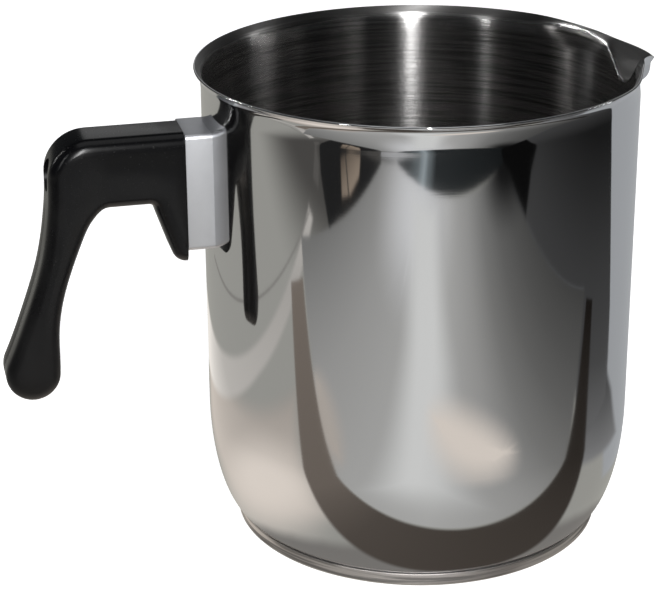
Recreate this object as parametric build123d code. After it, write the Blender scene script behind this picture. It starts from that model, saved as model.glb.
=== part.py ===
"""Candle melting pot: a drawn stainless steel jug with a pressed pouring spout, an encapsulated base and a
moulded pistol grip that one long screw clamps to a bracket welded on the wall.

Frame: millimetres, +Z up, origin at the centre of the underside of the base, spout towards +X and handle
towards -X. The model is symmetric about the plane Y = 0.
"""

from build123d import *

import os
from math import atan2, cos, pi, radians, sin, tan

# Pot shell
BODY_R = 70.0  # outside of the straight wall
SHEET = 0.8  # thickness of the drawn sheet
OVERLAP = 4.0  # how far forms that are cut to the wall's curve start inside it
CUT = 1.0  # how far cutting tools run past the faces they open
RIM_Z = 156.5  # top of the lip
CORNER_RADIAL = 11.4  # the bottom corner is a quarter ellipse, this much inwards
CORNER_TOP_Z = 41.7  # and it meets the straight wall here
LIP_RADIUS = 4.7  # outside radius of the flared lip's bend
LIP_SWEEP = 56.0  # degrees that the lip turns outwards

# Pouring spout, a V-shaped beak pressed out of the wall below the lip
SPOUT_X = BODY_R - SHEET  # its root stands on the inside of the wall
SPOUT_REACH = 9.2  # how far its chin stands out of the root, on the outside
SPOUT_HALF_WIDTH = 12.3  # half of its width at the root, below the lip's flare
SPOUT_LIP_WIDENING = 3.3  # the lip's flare adds this at the rim
SPOUT_OPENING = 0.68  # the width grows from the chin's bottom with this power of the height
SPOUT_NOSE_R = 3.0  # rounding of the nose, on the outside
CHIN_TOP_Z = 150.2  # the chin stands out furthest here and flares out above
CHIN_BOTTOM_Z = 143.4
CHIN_POWER = 3.0  # the chin's profile is a superellipse of this power, fuller than an ellipse
CHIN_STEPS = (8, 26, 45, 66, 90)  # sections of the chin, in degrees along its profile
SPOUT_FLARE = 0.71  # outward slope of the nose above the chin
POUR_X = 71.0  # the pouring edge starts to droop here
POUR_RADIUS = 11.7  # along an arc of this radius

# Encapsulated base
BASE_R = 61.0
CORE_TOP_Z = 4.2  # the shell's flat bottom stands on the core here
CAP_SHEET = 0.6
CAP_TOP_Z = 4.5
CAP_EDGE = 1.3  # rounding of the cap's outer bottom edge
GROOVE_RADII = (22.0, 36.0, 50.0)  # stamped expansion rings in the underside
GROOVE_WIDTH = 2.0
GROOVE_DEPTH = 0.25

# Ferrule between wall and handle
FERRULE_X = 77.9  # distance from the pot's axis to the joint with the handle
FERRULE_WIDTH = 19.8
FERRULE_TOP_Z = 140.5
FERRULE_BOTTOM_Z = 102.2
FERRULE_WALL = 1.5
FERRULE_EDGE = 1.6

# Bracket welded to the wall
BRACKET_SHEET = 1.5  # also how far its feet stand out of the wall
NOSE_WIDTH = 12.0
NOSE_BOTTOM_Z = 112.0
NOSE_TOP_Z = 134.2
NOSE_X = 80.4  # front of the nose, past the ferrule and into the handle
FOOT_HEIGHT = 4.4
NOSE_FIT = 0.3  # gap around the nose in the ferrule's window and the handle's pocket

# Screw joint along X
SCREW_Z = 128.0
SCREW_R = 2.5
SCREW_LENGTH = 40.0
HEAD_R = 4.25
HEAD_HEIGHT = 3.3
HEAD_EDGE = 0.5
RECESS_WIDTH = 1.1
RECESS_SPAN = 5.0
RECESS_DEPTH = 2.0
SEAT_X = 110.8  # bottom of the counterbore
COUNTERBORE_R = 5.2
CLEARANCE_R = 2.75
FLAT_WASHER_R = 4.5
FLAT_WASHER_THICKNESS = 1.0
SPRING_WASHER_R = 4.6
SPRING_WASHER_THICKNESS = 1.2
SPRING_WASHER_GAP = 1.0
SPRING_WASHER_SLANT = 25  # degrees
NUT_ACROSS_FLATS = 8.0
NUT_HEIGHT = 4.0
NUT_BORE_R = 2.55
NUT_CHAMFER = 0.4

# Handle, outline in the XZ plane with X measured away from the pot
HANDLE_TOP_Z = 140.7
HANDLE_EDGE = 4.2  # rounding of the long edges
HANDLE_WIDTH = 19.8
ARM_UNDER_Z = 117.9
GUSSET_TOE = (81.4, 97.9)
GUSSET_HEEL = (88.2, ARM_UNDER_Z)
GUSSET_TOE_R = 4.5
GUSSET_HEEL_R = 2.0
ARM_END_X = 102.0
ELBOW_R = 13.5
ELBOW_X = 120.6
BULB_CENTRE = (128.6, 63.5)
BULB_R = 8.7
BULB_WIDTH = 18.2
BULB_START = 25.0  # angle at which the back of the grip runs into the bulb
BULB_SWEEP = 200.0
GRIP_BACK = ((121.4, 115.5), (124.3, 99.8), (129.8, 83.4))
GRIP_FRONT = ((119.3, 79.0), (116.8, 91.0), (111.2, 106.2), (107.2, 114.0))


def revolved(profile_face):
    """Full turn of a face in the XZ plane about the pot's axis."""
    return revolve(profile_face, Axis.Z, 360)


def shell_outline(radius, corner_radial, floor_z, bend_radius):
    """Half section of the pot's filled form out to one side of its sheet, up to the lip's end."""
    bend_x = BODY_R + LIP_RADIUS
    bend_z = RIM_Z - (LIP_RADIUS + SHEET) * sin(radians(LIP_SWEEP))
    end_x = bend_x - bend_radius * cos(radians(LIP_SWEEP))
    end_z = bend_z + bend_radius * sin(radians(LIP_SWEEP))
    flat_r = radius - corner_radial
    floor = Line((0, floor_z), (flat_r, floor_z))
    corner = EllipticalCenterArc(
        (flat_r, CORNER_TOP_Z), corner_radial, CORNER_TOP_Z - floor_z, start_angle=270, arc_size=90
    )
    wall = Line((radius, CORNER_TOP_Z), (radius, bend_z))
    lip = CenterArc((bend_x, bend_z), bend_radius, 180, -LIP_SWEEP)
    closing = Polyline((end_x, end_z), (0, end_z), (0, floor_z))
    return make_face(Plane.XZ * (Curve() + [floor, corner, wall, lip, closing]))


def beak_section(z, reach, half_width, nose_r):
    """Plan view of the beak at one height: a V with a rounded nose, its open end inside the pot."""
    flank = atan2(half_width, reach)
    nose_x = SPOUT_X + reach - nose_r
    side_x = nose_x + nose_r * sin(flank)
    side_y = nose_r * cos(flank)
    root_x = SPOUT_X - CUT
    root_y = side_y + (side_x - root_x) * tan(flank)
    nose = ThreePointArc((side_x, -side_y), (nose_x + nose_r, 0), (side_x, side_y))
    rest = Polyline((side_x, side_y), (root_x, root_y), (root_x, -root_y), (side_x, -side_y))
    return Pos(0, 0, z) * make_face(Curve() + [nose, rest])


def spout_form(inset=0.0):
    """Filled beak, or its hollow when inset by the sheet: a full chin and a nose flaring above it."""
    reach = SPOUT_REACH - inset
    half_width = SPOUT_HALF_WIDTH - inset
    nose_r = SPOUT_NOSE_R - inset
    bottom_z = CHIN_BOTTOM_Z + inset
    sections = []
    for step in CHIN_STEPS:
        scale = sin(radians(step)) ** (2 / CHIN_POWER)
        z = CHIN_TOP_Z - (CHIN_TOP_Z - bottom_z) * cos(radians(step)) ** (2 / CHIN_POWER)
        opened = ((z - bottom_z) / (RIM_Z - bottom_z)) ** SPOUT_OPENING
        sections.append(beak_section(z, reach * scale, half_width * opened, nose_r * opened))
    top_reach = reach + SPOUT_FLARE * (RIM_Z - CHIN_TOP_Z)
    top = beak_section(RIM_Z, top_reach, half_width + SPOUT_LIP_WIDENING, nose_r)
    return loft(sections) + loft([sections[-1], top], ruled=True)


def above_pouring_edge():
    """Everything over the spout that is trimmed away, down to an edge that droops towards the tip."""
    size = 3 * SPOUT_HALF_WIDTH
    edge = Pos(POUR_X, 0, RIM_Z - POUR_RADIUS)
    block_above = edge * Box(size, size, size, align=(Align.MIN, Align.CENTER, Align.MIN))
    kept = edge * Rot(90, 0, 0) * Cylinder(POUR_RADIUS, size + CUT)
    return block_above - kept


def pot_body():
    """Drawn shell with flared lip and pressed spout."""
    outside = revolved(shell_outline(BODY_R, CORNER_RADIAL, CORE_TOP_Z, LIP_RADIUS))
    inside = revolved(
        shell_outline(BODY_R - SHEET, CORNER_RADIAL - SHEET, CORE_TOP_Z + SHEET, LIP_RADIUS + SHEET)
    )
    return (outside + spout_form()) - inside - spout_form(SHEET) - above_pouring_edge()


def base_core():
    """Aluminium heat spreader between shell and cap."""
    return Pos(0, 0, CAP_SHEET) * Cylinder(
        BASE_R - CAP_SHEET, CORE_TOP_Z - CAP_SHEET, align=(Align.CENTER, Align.CENTER, Align.MIN)
    )


def base_cap():
    """Stamped steel dish that wraps the core, with expansion rings pressed into its underside."""
    floor_aligned = (Align.CENTER, Align.CENTER, Align.MIN)
    dish = Cylinder(BASE_R, CAP_TOP_Z, align=floor_aligned)
    dish = fillet(dish.edges().group_by(Axis.Z)[0], CAP_EDGE)
    dish -= Pos(0, 0, CAP_SHEET) * Cylinder(BASE_R - CAP_SHEET, CAP_TOP_Z, align=floor_aligned)
    for ring_r in GROOVE_RADII:
        ring = Cylinder(ring_r + GROOVE_WIDTH / 2, GROOVE_DEPTH, align=floor_aligned)
        dish -= ring - Cylinder(ring_r - GROOVE_WIDTH / 2, GROOVE_DEPTH, align=floor_aligned)
    return dish


def pot_wall_form(thickness=0.0):
    """Filled cylinder of the pot's wall, to cut the pieces that lie against it."""
    return Cylinder(BODY_R + thickness, 2 * RIM_Z)


def block(x_near, x_far, width, z_low, z_high):
    """Box on the handle's side of the pot, from one distance to another from the axis."""
    return Pos(-(x_near + x_far) / 2, 0, (z_low + z_high) / 2) * Box(
        x_far - x_near, width, z_high - z_low
    )


def along_x(radius, x_near, x_far):
    """Cylinder on the screw's axis, from one distance to another from the pot's axis."""
    return Pos(-(x_near + x_far) / 2, 0, SCREW_Z) * Rot(0, 90, 0) * Cylinder(radius, x_far - x_near)


def ferrule():
    """Hollow metal block that closes the gap between wall and handle, with a window for the bracket."""
    inner_x = BODY_R - OVERLAP
    outer = block(inner_x, FERRULE_X, FERRULE_WIDTH, FERRULE_BOTTOM_Z, FERRULE_TOP_Z)
    outer = fillet(outer.edges().filter_by(Axis.X), FERRULE_EDGE)
    hollow = block(
        inner_x,
        FERRULE_X - FERRULE_WALL,
        FERRULE_WIDTH - 2 * FERRULE_WALL,
        FERRULE_BOTTOM_Z + FERRULE_WALL,
        FERRULE_TOP_Z - FERRULE_WALL,
    )
    window = nose_form(NOSE_FIT)
    return outer - hollow - window - pot_wall_form()


def nose_form(gap=0.0):
    """Filled nose of the bracket, grown by a gap all round."""
    width = NOSE_WIDTH + 2 * gap
    return block(BODY_R - OVERLAP, NOSE_X + gap, width, NOSE_BOTTOM_Z - gap, NOSE_TOP_Z + gap)


def handle_bracket():
    """Hat-shaped strip: two feet on the wall, two legs and a web with the screw's hole."""
    inner_low = NOSE_BOTTOM_Z + BRACKET_SHEET
    inner_high = NOSE_TOP_Z - BRACKET_SHEET
    hollow_near_x = BODY_R - OVERLAP - CUT
    nose = nose_form() - block(hollow_near_x, NOSE_X - BRACKET_SHEET, NOSE_WIDTH, inner_low, inner_high)
    feet_low = NOSE_BOTTOM_Z - FOOT_HEIGHT
    feet_high = NOSE_TOP_Z + FOOT_HEIGHT
    feet = block(BODY_R - OVERLAP, NOSE_X, NOSE_WIDTH, feet_low, feet_high)
    feet = (feet - nose_form()) & pot_wall_form(BRACKET_SHEET)
    screw_hole = along_x(CLEARANCE_R, NOSE_X - BRACKET_SHEET - CUT, NOSE_X + CUT)
    return nose + feet - pot_wall_form() - screw_hole


def bracket_nut():
    """Weld nut behind the web."""
    far_x = NOSE_X - BRACKET_SHEET
    corner_r = NUT_ACROSS_FLATS / 2 / cos(pi / 6)
    prism = extrude(RegularPolygon(corner_r, 6), NUT_HEIGHT)
    prism = chamfer(prism.faces().sort_by(Axis.Z)[0].edges(), NUT_CHAMFER)
    nut = Pos(-far_x, 0, SCREW_Z) * Rot(0, 90, 0) * Rot(0, 0, 30) * prism
    return nut - along_x(NUT_BORE_R, far_x - NUT_HEIGHT - CUT, far_x + CUT)


def washer(radius, x_near, thickness):
    """Plain ring on the screw's axis."""
    x_far = x_near + thickness
    return along_x(radius, x_near, x_far) - along_x(CLEARANCE_R, x_near - CUT, x_far + CUT)


def flat_washer():
    """Flat washer at the bottom of the counterbore."""
    return washer(FLAT_WASHER_R, SEAT_X, FLAT_WASHER_THICKNESS)


def spring_washer():
    """Split lock washer under the head, closed flat by the screw."""
    x_near = SEAT_X + FLAT_WASHER_THICKNESS
    ring = washer(SPRING_WASHER_R, x_near, SPRING_WASHER_THICKNESS)
    split = Pos(-x_near - SPRING_WASHER_THICKNESS / 2, 0, SCREW_Z + SPRING_WASHER_R / 2)
    slot = Rot(SPRING_WASHER_SLANT, 0, 0) * Box(SPRING_WASHER_THICKNESS * 2, SPRING_WASHER_GAP, SPRING_WASHER_R)
    return ring - split * slot


def handle_screw():
    """Pan head machine screw with a cross recess."""
    under_head = SEAT_X + FLAT_WASHER_THICKNESS + SPRING_WASHER_THICKNESS
    tip_x = under_head - SCREW_LENGTH
    head = along_x(HEAD_R, under_head, under_head + HEAD_HEIGHT)
    head = fillet(head.edges().group_by(Axis.X)[0], HEAD_EDGE)
    shank = along_x(SCREW_R, tip_x, under_head)
    shank = chamfer(shank.edges().group_by(Axis.X)[-1], HEAD_EDGE)
    recess_x = -(under_head + HEAD_HEIGHT - RECESS_DEPTH / 2)
    bar = Box(RECESS_DEPTH, RECESS_WIDTH, RECESS_SPAN)
    recess = Pos(recess_x, 0, SCREW_Z) * (Rot(45, 0, 0) * bar + Rot(-45, 0, 0) * bar)
    return head + shank - recess


def handle_outline():
    """Side view of the handle as a face in the XZ plane, on the pot's -X side."""
    elbow_centre = (ELBOW_X - ELBOW_R, HANDLE_TOP_Z - ELBOW_R)
    top = Line((FERRULE_X, HANDLE_TOP_Z), (elbow_centre[0], HANDLE_TOP_Z))
    elbow = CenterArc(elbow_centre, ELBOW_R, 90, -90)
    bulb = CenterArc(BULB_CENTRE, BULB_R, BULB_START, -BULB_SWEEP)
    back = Spline([elbow @ 1, *GRIP_BACK, bulb @ 0], tangents=[elbow % 1, bulb % 0])
    arm_end = (ARM_END_X, ARM_UNDER_Z)
    front = Spline([bulb @ 1, *GRIP_FRONT, arm_end], tangents=[bulb % 1, (-1, 0)])
    joint_face = ((FERRULE_X, GUSSET_TOE[1]), (FERRULE_X, HANDLE_TOP_Z))
    gusset = Polyline(arm_end, GUSSET_HEEL, GUSSET_TOE, *joint_face)
    face = make_face(Curve() + [top, elbow, back, bulb, front, gusset])
    for corner, radius in ((GUSSET_HEEL, GUSSET_HEEL_R), (GUSSET_TOE, GUSSET_TOE_R)):
        face = fillet(face.vertices().sort_by_distance(corner)[0], radius)
    return mirror(Plane.XZ * face, Plane.YZ)


def handle_width_form():
    """View of the handle along X, as a prism: straight at the arm, tapering down the grip."""
    half = HANDLE_WIDTH / 2
    half_end = BULB_WIDTH / 2
    end_z = BULB_CENTRE[1] - BULB_R
    right_side = ((half_end, end_z), (half, ARM_UNDER_Z), (half, HANDLE_TOP_Z))
    left_side = tuple((-y, z) for y, z in reversed(right_side))
    face = make_face(Polyline(*right_side, *left_side, right_side[0]))
    return extrude(Plane.YZ * face, 3 * BODY_R, both=True)


def handle():
    """Moulded grip with the screw's bore, its counterbore and the pocket for the bracket's nose."""
    solid = extrude(handle_outline(), HANDLE_WIDTH / 2, both=True)
    side_edges = ShapeList(edge for face in solid.faces().filter_by(Axis.Y) for edge in face.edges())
    joint_edges = side_edges.filter_by_position(Axis.X, -FERRULE_X, -FERRULE_X)
    long_edges = ShapeList(edge for edge in side_edges if edge not in joint_edges)
    solid = fillet(long_edges, HANDLE_EDGE) & handle_width_form()
    bore = along_x(CLEARANCE_R, FERRULE_X - CUT, SEAT_X + CUT)
    counterbore = along_x(COUNTERBORE_R, SEAT_X, ELBOW_X + ELBOW_R)
    return solid - bore - counterbore - nose_form(NOSE_FIT)


PARTS = {
    "pot_body": pot_body,
    "base_core": base_core,
    "base_cap": base_cap,
    "ferrule": ferrule,
    "handle_bracket": handle_bracket,
    "bracket_nut": bracket_nut,
    "flat_washer": flat_washer,
    "spring_washer": spring_washer,
    "handle_screw": handle_screw,
    "handle": handle,
}

os.makedirs("parts", exist_ok=True)
for name, build in PARTS.items():
    export_step(build(), f"parts/{name}.step")
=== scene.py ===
"""Looks of a candle melting pot: polished shell with spout, sandwich base, ferrule and moulded grip.

The frame is the pot's own: +Z up from the underside of the base, spout towards +X, handle towards -X.
Sizes inside the classes are in millimetres, and each mesh is turned into metres as it is finished.
"""

import enum
import logging
import math
from dataclasses import dataclass
from typing import Any, Optional, Sequence, Union

import bmesh
import bpy
from mathutils import Matrix, Vector
from mathutils.geometry import interpolate_bezier

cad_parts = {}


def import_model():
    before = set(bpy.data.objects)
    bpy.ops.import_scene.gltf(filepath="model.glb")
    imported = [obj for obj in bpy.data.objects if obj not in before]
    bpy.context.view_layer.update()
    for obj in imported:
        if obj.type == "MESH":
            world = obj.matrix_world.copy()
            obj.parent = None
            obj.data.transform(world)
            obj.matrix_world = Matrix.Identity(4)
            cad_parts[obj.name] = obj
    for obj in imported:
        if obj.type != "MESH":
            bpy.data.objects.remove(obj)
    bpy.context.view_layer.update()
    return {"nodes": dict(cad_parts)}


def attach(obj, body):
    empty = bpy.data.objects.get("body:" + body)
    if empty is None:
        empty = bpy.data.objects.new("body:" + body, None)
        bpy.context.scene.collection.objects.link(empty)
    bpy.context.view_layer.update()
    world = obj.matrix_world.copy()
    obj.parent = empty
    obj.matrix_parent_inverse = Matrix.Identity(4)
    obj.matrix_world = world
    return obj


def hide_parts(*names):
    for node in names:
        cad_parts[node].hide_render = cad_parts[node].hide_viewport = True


log = logging.getLogger("melting_pot")

METRES = 0.001  # one millimetre
CREASE = 35.0  # edges sharper than this many degrees stay crisp
SAME_PLACE = 1e-4  # vertices nearer than this many millimetres are one
Point = tuple[float, float]
Colour = tuple[float, float, float]
Edges = list[bmesh.types.BMEdge]


# ---------------------------------------------------------------- shader kit


class Signal:
    """A shader value that takes part in Python expressions, each adding one Math node."""

    def __init__(self, shader: "Shader", socket: bpy.types.NodeSocket) -> None:
        """Wraps an output socket of a shader's node."""
        self.shader = shader
        self.socket = socket

    def _math(self, operation: str, first: Any, second: Any = 0.0) -> "Signal":
        """Adds a Math node.

        Args:
            operation: the Math node's operation.
            first: its first input, a signal or a number.
            second: its second input.

        Returns:
            The node's result.
        """
        node = self.shader.node("ShaderNodeMath", {"operation": operation}, {0: first, 1: second})
        return Signal(self.shader, node.outputs[0])

    def __add__(self, other: Any) -> "Signal":
        """self + other."""
        return self._math("ADD", self, other)

    def __radd__(self, other: Any) -> "Signal":
        """other + self."""
        return self._math("ADD", other, self)

    def __sub__(self, other: Any) -> "Signal":
        """self - other."""
        return self._math("SUBTRACT", self, other)

    def __rsub__(self, other: Any) -> "Signal":
        """other - self."""
        return self._math("SUBTRACT", other, self)

    def __mul__(self, other: Any) -> "Signal":
        """self * other."""
        return self._math("MULTIPLY", self, other)

    def __rmul__(self, other: Any) -> "Signal":
        """other * self."""
        return self._math("MULTIPLY", other, self)

    def __pow__(self, exponent: Any) -> "Signal":
        """self ** exponent."""
        return self._math("POWER", self, exponent)

    def band(self, low: float, high: float) -> "Signal":
        """Smooth step of the signal.

        Args:
            low: the value at and below which the result is 0.
            high: the value at and above which the result is 1.

        Returns:
            The step, between 0 and 1.
        """
        node = self.shader.node(
            "ShaderNodeMapRange",
            {"interpolation_type": "SMOOTHSTEP", "clamp": True},
            {"Value": self, "From Min": low, "From Max": high},
        )
        return Signal(self.shader, node.outputs["Result"])


class Shader:
    """One material's node tree around a Principled surface."""

    def __init__(self, name: str) -> None:
        """Makes an empty material.

        Args:
            name: the material's name.
        """
        self.material = bpy.data.materials.new(name)
        self.material.use_nodes = True
        self.tree = self.material.node_tree
        self.tree.nodes.clear()
        self.place = self.node("ShaderNodeTexCoord").outputs["Object"]

    def node(
        self,
        kind: str,
        settings: Optional[dict[str, Any]] = None,
        sockets: Optional[dict[Union[str, int], Any]] = None,
    ) -> bpy.types.Node:
        """Adds any node.

        Args:
            kind: the node's type name.
            settings: its properties, set first; "stops" gives a colour ramp's (position, colour) pairs.
            sockets: its inputs by name or index, each a signal, an output socket or a plain value.

        Returns:
            The new node.
        """
        node = self.tree.nodes.new(kind)
        for key, value in (settings or {}).items():
            if key == "stops":
                self._set_stops(node.color_ramp, value)
            else:
                setattr(node, key, value)
        for key, value in (sockets or {}).items():
            self.feed(node.inputs[key], value)
        return node

    @staticmethod
    def _set_stops(ramp: bpy.types.ColorRamp, stops: Sequence[tuple[float, Sequence[float]]]) -> None:
        """Gives a colour ramp its stops.

        Args:
            ramp: the ramp.
            stops: (position, colour) pairs in order.
        """
        while len(ramp.elements) < len(stops):
            ramp.elements.new(1.0)
        for element, (position, colour) in zip(ramp.elements, stops):
            element.position = position
            element.color = (*colour, 1.0)

    def feed(self, target: bpy.types.NodeSocket, value: Any) -> None:
        """Links a signal or socket to an input, or sets a plain value on it.

        Args:
            target: the input.
            value: what it gets.
        """
        if isinstance(value, Signal):
            self.tree.links.new(value.socket, target)
        elif isinstance(value, bpy.types.NodeSocket):
            self.tree.links.new(value, target)
        elif isinstance(value, (tuple, list)) and target.type == "RGBA" and len(value) == 3:
            target.default_value = (*value, 1.0)
        else:
            target.default_value = value

    def noise(self, scale: float, stretch: Sequence[float] = (1, 1, 1), detail: float = 3.0) -> Signal:
        """Noise over the piece.

        Args:
            scale: features per metre.
            stretch: how much faster it changes along each axis.
            detail: octaves.

        Returns:
            The noise, around 0.5.
        """
        placed = self.node("ShaderNodeMapping", None, {"Vector": self.place, "Scale": tuple(stretch)})
        made = self.node(
            "ShaderNodeTexNoise",
            {"noise_dimensions": "3D"},
            {"Vector": placed.outputs[0], "Scale": scale, "Detail": detail},
        )
        return Signal(self, made.outputs["Fac"])

    def place_parts(self) -> tuple[Signal, Signal, Signal]:
        """The three coordinates of the point that is shaded."""
        parts = self.node("ShaderNodeSeparateXYZ", None, {0: self.place})
        return tuple(Signal(self, output) for output in parts.outputs)

    def from_axis(self) -> Signal:
        """Distance from the pot's axis."""
        x, y, _ = self.place_parts()
        return (x * x + y * y) ** 0.5

    def around_axis(self, lines: float, detail: float = 4.0, length: float = 30.0) -> Signal:
        """Fine lines that run round the pot's axis, on walls and on floors alike.

        Args:
            lines: features per metre of height or radius.
            detail: octaves.
            length: features per metre along the lines.

        Returns:
            The line pattern, around 0.5.
        """
        x, y, z = self.place_parts()
        radius = self.from_axis()
        line = self.node(
            "ShaderNodeCombineXYZ",
            None,
            {0: x * length, 1: y * length, 2: (z + radius) * lines},
        )
        made = self.node(
            "ShaderNodeTexNoise",
            {"noise_dimensions": "3D"},
            {"Vector": line.outputs[0], "Scale": 1.0, "Detail": detail},
        )
        return Signal(self, made.outputs["Fac"])

    def blend(self, factor: Any, first: Any, second: Any) -> bpy.types.NodeSocket:
        """Mixes two colours.

        Args:
            factor: share of the second colour.
            first: colour at 0.
            second: colour at 1.

        Returns:
            The mixed colour's socket.
        """
        made = self.node("ShaderNodeMix", {"data_type": "RGBA"}, {0: factor, 6: first, 7: second})
        return made.outputs[2]

    def bump(self, height: Signal, depth_mm: float, under: Optional[Any] = None) -> bpy.types.NodeSocket:
        """Small relief.

        Args:
            height: the relief, 0 to 1.
            depth_mm: its full depth.
            under: the normal of another relief beneath it.

        Returns:
            The bent normal's socket.
        """
        sockets: dict[Union[str, int], Any] = {
            "Height": height,
            "Distance": depth_mm * METRES,
            "Strength": 1.0,
        }
        if under is not None:
            sockets["Normal"] = under
        return self.node("ShaderNodeBump", None, sockets).outputs[0]

    def surface(self, **sockets: Any) -> bpy.types.Material:
        """Ends the tree in a Principled surface.

        Args:
            sockets: its inputs, with underscores for spaces.

        Returns:
            The finished material.
        """
        named = {key.replace("_", " "): value for key, value in sockets.items()}
        principled = self.node("ShaderNodeBsdfPrincipled", None, named)
        self.node("ShaderNodeOutputMaterial", None, {"Surface": principled.outputs[0]})
        return self.material


class Slot(enum.Enum):
    """The record's material slots."""

    POLISHED = "polished_steel"
    BASE = "base_steel"
    CORE = "core_aluminium"
    FERRULE = "ferrule_steel"
    BRACKET = "bracket_steel"
    BAKELITE = "bakelite"
    ZINC = "zinc"


# ---------------------------------------------------------------- finishes


@dataclass(frozen=True)
class MirrorSteel:
    """Stainless sheet polished on a wheel: clear reflections, faint polishing lines and soft smears."""

    tint: Colour = (0.70, 0.705, 0.72)
    smeared_tint: Colour = (0.672, 0.66975, 0.6696)
    clearest: float = 0.035
    smeared: float = 0.10
    line_roughness: float = 0.02
    line_density: float = 2600.0
    line_depth: float = 0.0006
    wave_depth: float = 0.02

    def material(self) -> bpy.types.Material:
        """Builds the finish.

        Returns:
            Its material.
        """
        shader = Shader("mirror_steel")
        smear = shader.noise(14.0, (1, 1, 0.6), 4.0).band(0.45, 0.75)
        lines = shader.around_axis(self.line_density)
        waves = shader.noise(9.0, (1, 1, 0.5), 1.0)
        smearing = smear * (self.smeared - self.clearest)
        return shader.surface(
            Base_Color=shader.blend(smear * 0.5, self.tint, self.smeared_tint),
            Metallic=1.0,
            Roughness=self.clearest + smearing + lines * self.line_roughness,
            Normal=shader.bump(lines, self.line_depth, shader.bump(waves, self.wave_depth)),
        )


@dataclass(frozen=True)
class SpunSteel:
    """Stainless sheet brushed in circles round the pot's axis: highlights draw out across the lines.

    A lip beyond lip_from metres from the axis is rougher by lip_satin, and its colour is darkened to the
    dull tint as painted shade.
    """

    name: str
    tint: Colour
    roughness: float
    spread: float
    lip_from: float = 1.0
    lip_satin: float = 0.0
    lip_fade: float = 0.001
    dulling: float = 0.36
    line_density: float = 1300.0
    # how dark stains and scratches get, and how dark the painted shade on the lip gets
    line_depth: float = 0.08
    scratch_density: float = 1000.0
    scratch_share: float = 0.9
    stain_share: float = 0.1
    draw_out: float = 1.0

    def material(self) -> bpy.types.Material:
        """Builds the finish.

        Returns:
            Its material.
        """
        shader = Shader(self.name)
        fine = shader.around_axis(self.line_density)
        scratches = shader.around_axis(self.scratch_density, 3.0).band(0.41, 0.64)
        stain = shader.noise(22.0, (1, 1, 1), 4.0).band(0.5, 0.8)
        lip = shader.from_axis().band(self.lip_from, self.lip_from + self.lip_fade)
        dull = tuple(channel * self.dulling for channel in self.tint)
        # stains and scratches are real marks; the lip's share of this darkening is painted shade
        stains_and_painted_lip_shade = lip + stain * self.stain_share + scratches * self.scratch_share
        brushing = (fine - 0.5) * self.spread + scratches * self.spread
        return shader.surface(
            Base_Color=shader.blend(stains_and_painted_lip_shade, self.tint, dull),
            Metallic=1.0,
            Roughness=self.roughness + brushing + lip * self.lip_satin,
            Anisotropic=self.draw_out,
            Anisotropic_Rotation=0.25,
            Normal=shader.bump(fine, self.line_depth),
        )


@dataclass(frozen=True)
class BlastedSteel:
    """Plain steel or light alloy with an even satin grain that is duller in patches."""

    name: str
    tint: Colour
    roughness: float
    grain_depth: float = 0.004
    grain_scale: float = 5200.0
    grain_roughness: float = 0.12
    dulling: float = 0.8
    patch_share: float = 0.45
    patch_roughness: float = 0.08

    def material(self) -> bpy.types.Material:
        """Builds the finish.

        Returns:
            Its material.
        """
        shader = Shader(self.name)
        grain = shader.noise(self.grain_scale, (1, 1, 1), 2.0)
        patch = shader.noise(60.0, (1, 1, 1), 4.0).band(0.4, 0.75)
        dull = tuple(channel * self.dulling for channel in self.tint)
        uneven = patch * self.patch_roughness + (grain - 0.5) * self.grain_roughness
        return shader.surface(
            Base_Color=shader.blend(patch * self.patch_share, self.tint, dull),
            Metallic=1.0,
            Roughness=self.roughness + uneven,
            Normal=shader.bump(grain, self.grain_depth),
        )


@dataclass(frozen=True)
class Bakelite:
    """Gloss black moulding with a soft moulded ripple, fine rubbing marks and a trace of dust."""

    black: Colour = (0.002, 0.002, 0.0025)
    worn: Colour = (0.014, 0.0135, 0.013)
    gloss: float = 0.22
    rubbed: float = 0.40
    shine: float = 0.26
    dust_share: float = 0.5
    dust_roughness: float = 0.15
    rubbed_share: float = 0.25
    ripple_depth: float = 0.035
    grain_depth: float = 0.0012

    def material(self) -> bpy.types.Material:
        """Builds the finish.

        Returns:
            Its material.
        """
        shader = Shader("bakelite_gloss")
        ripple = shader.noise(130.0, (1, 1, 1), 2.0)
        grain = shader.noise(2400.0, (1, 1, 1), 2.0)
        rubbing = shader.noise(45.0, (1, 1, 0.5), 5.0).band(0.48, 0.78)
        dust = shader.noise(1500.0, (1, 1, 1), 1.0).band(0.68, 0.8)
        marks = dust * self.dust_share + rubbing * self.rubbed_share
        dulling = rubbing * (self.rubbed - self.gloss) + dust * self.dust_roughness
        return shader.surface(
            Base_Color=shader.blend(marks, self.black, self.worn),
            Roughness=self.gloss + dulling,
            IOR=1.5,
            Specular_IOR_Level=self.shine,
            Normal=shader.bump(grain, self.grain_depth, shader.bump(ripple, self.ripple_depth)),
        )


# ---------------------------------------------------------------- mesh kit


def chain(mesh: bmesh.types.BMesh, points: Sequence[Point]) -> Edges:
    """Draws a line in the XZ plane, extruded from a single vertex to point after point.

    Args:
        mesh: the mesh it is added to.
        points: (x, z) along the line; a last point equal to the first closes it once doubles are merged.

    Returns:
        The line's edges in order.
    """
    x, z = points[0]
    vert = bmesh.ops.create_vert(mesh, co=(x, 0.0, z))["vert"][0]
    edges: Edges = []
    for x, z in points[1:]:
        grown = bmesh.ops.extrude_vert_indiv(mesh, verts=[vert])
        vert = grown["verts"][0]
        vert.co = (x, 0.0, z)
        edges += grown["edges"]
    return edges


def arc(centre: Point, radii: Point, start: float, sweep: float, steps: int) -> list[Point]:
    """Points along an elliptic arc.

    Args:
        centre: its centre.
        radii: its half axes along x and z.
        start: first angle in degrees.
        sweep: angle to the last point in degrees.
        steps: number of runs.

    Returns:
        steps + 1 points.
    """
    angles = [math.radians(start + sweep * step / steps) for step in range(steps + 1)]
    return [(centre[0] + radii[0] * math.cos(a), centre[1] + radii[1] * math.sin(a)) for a in angles]


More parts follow.
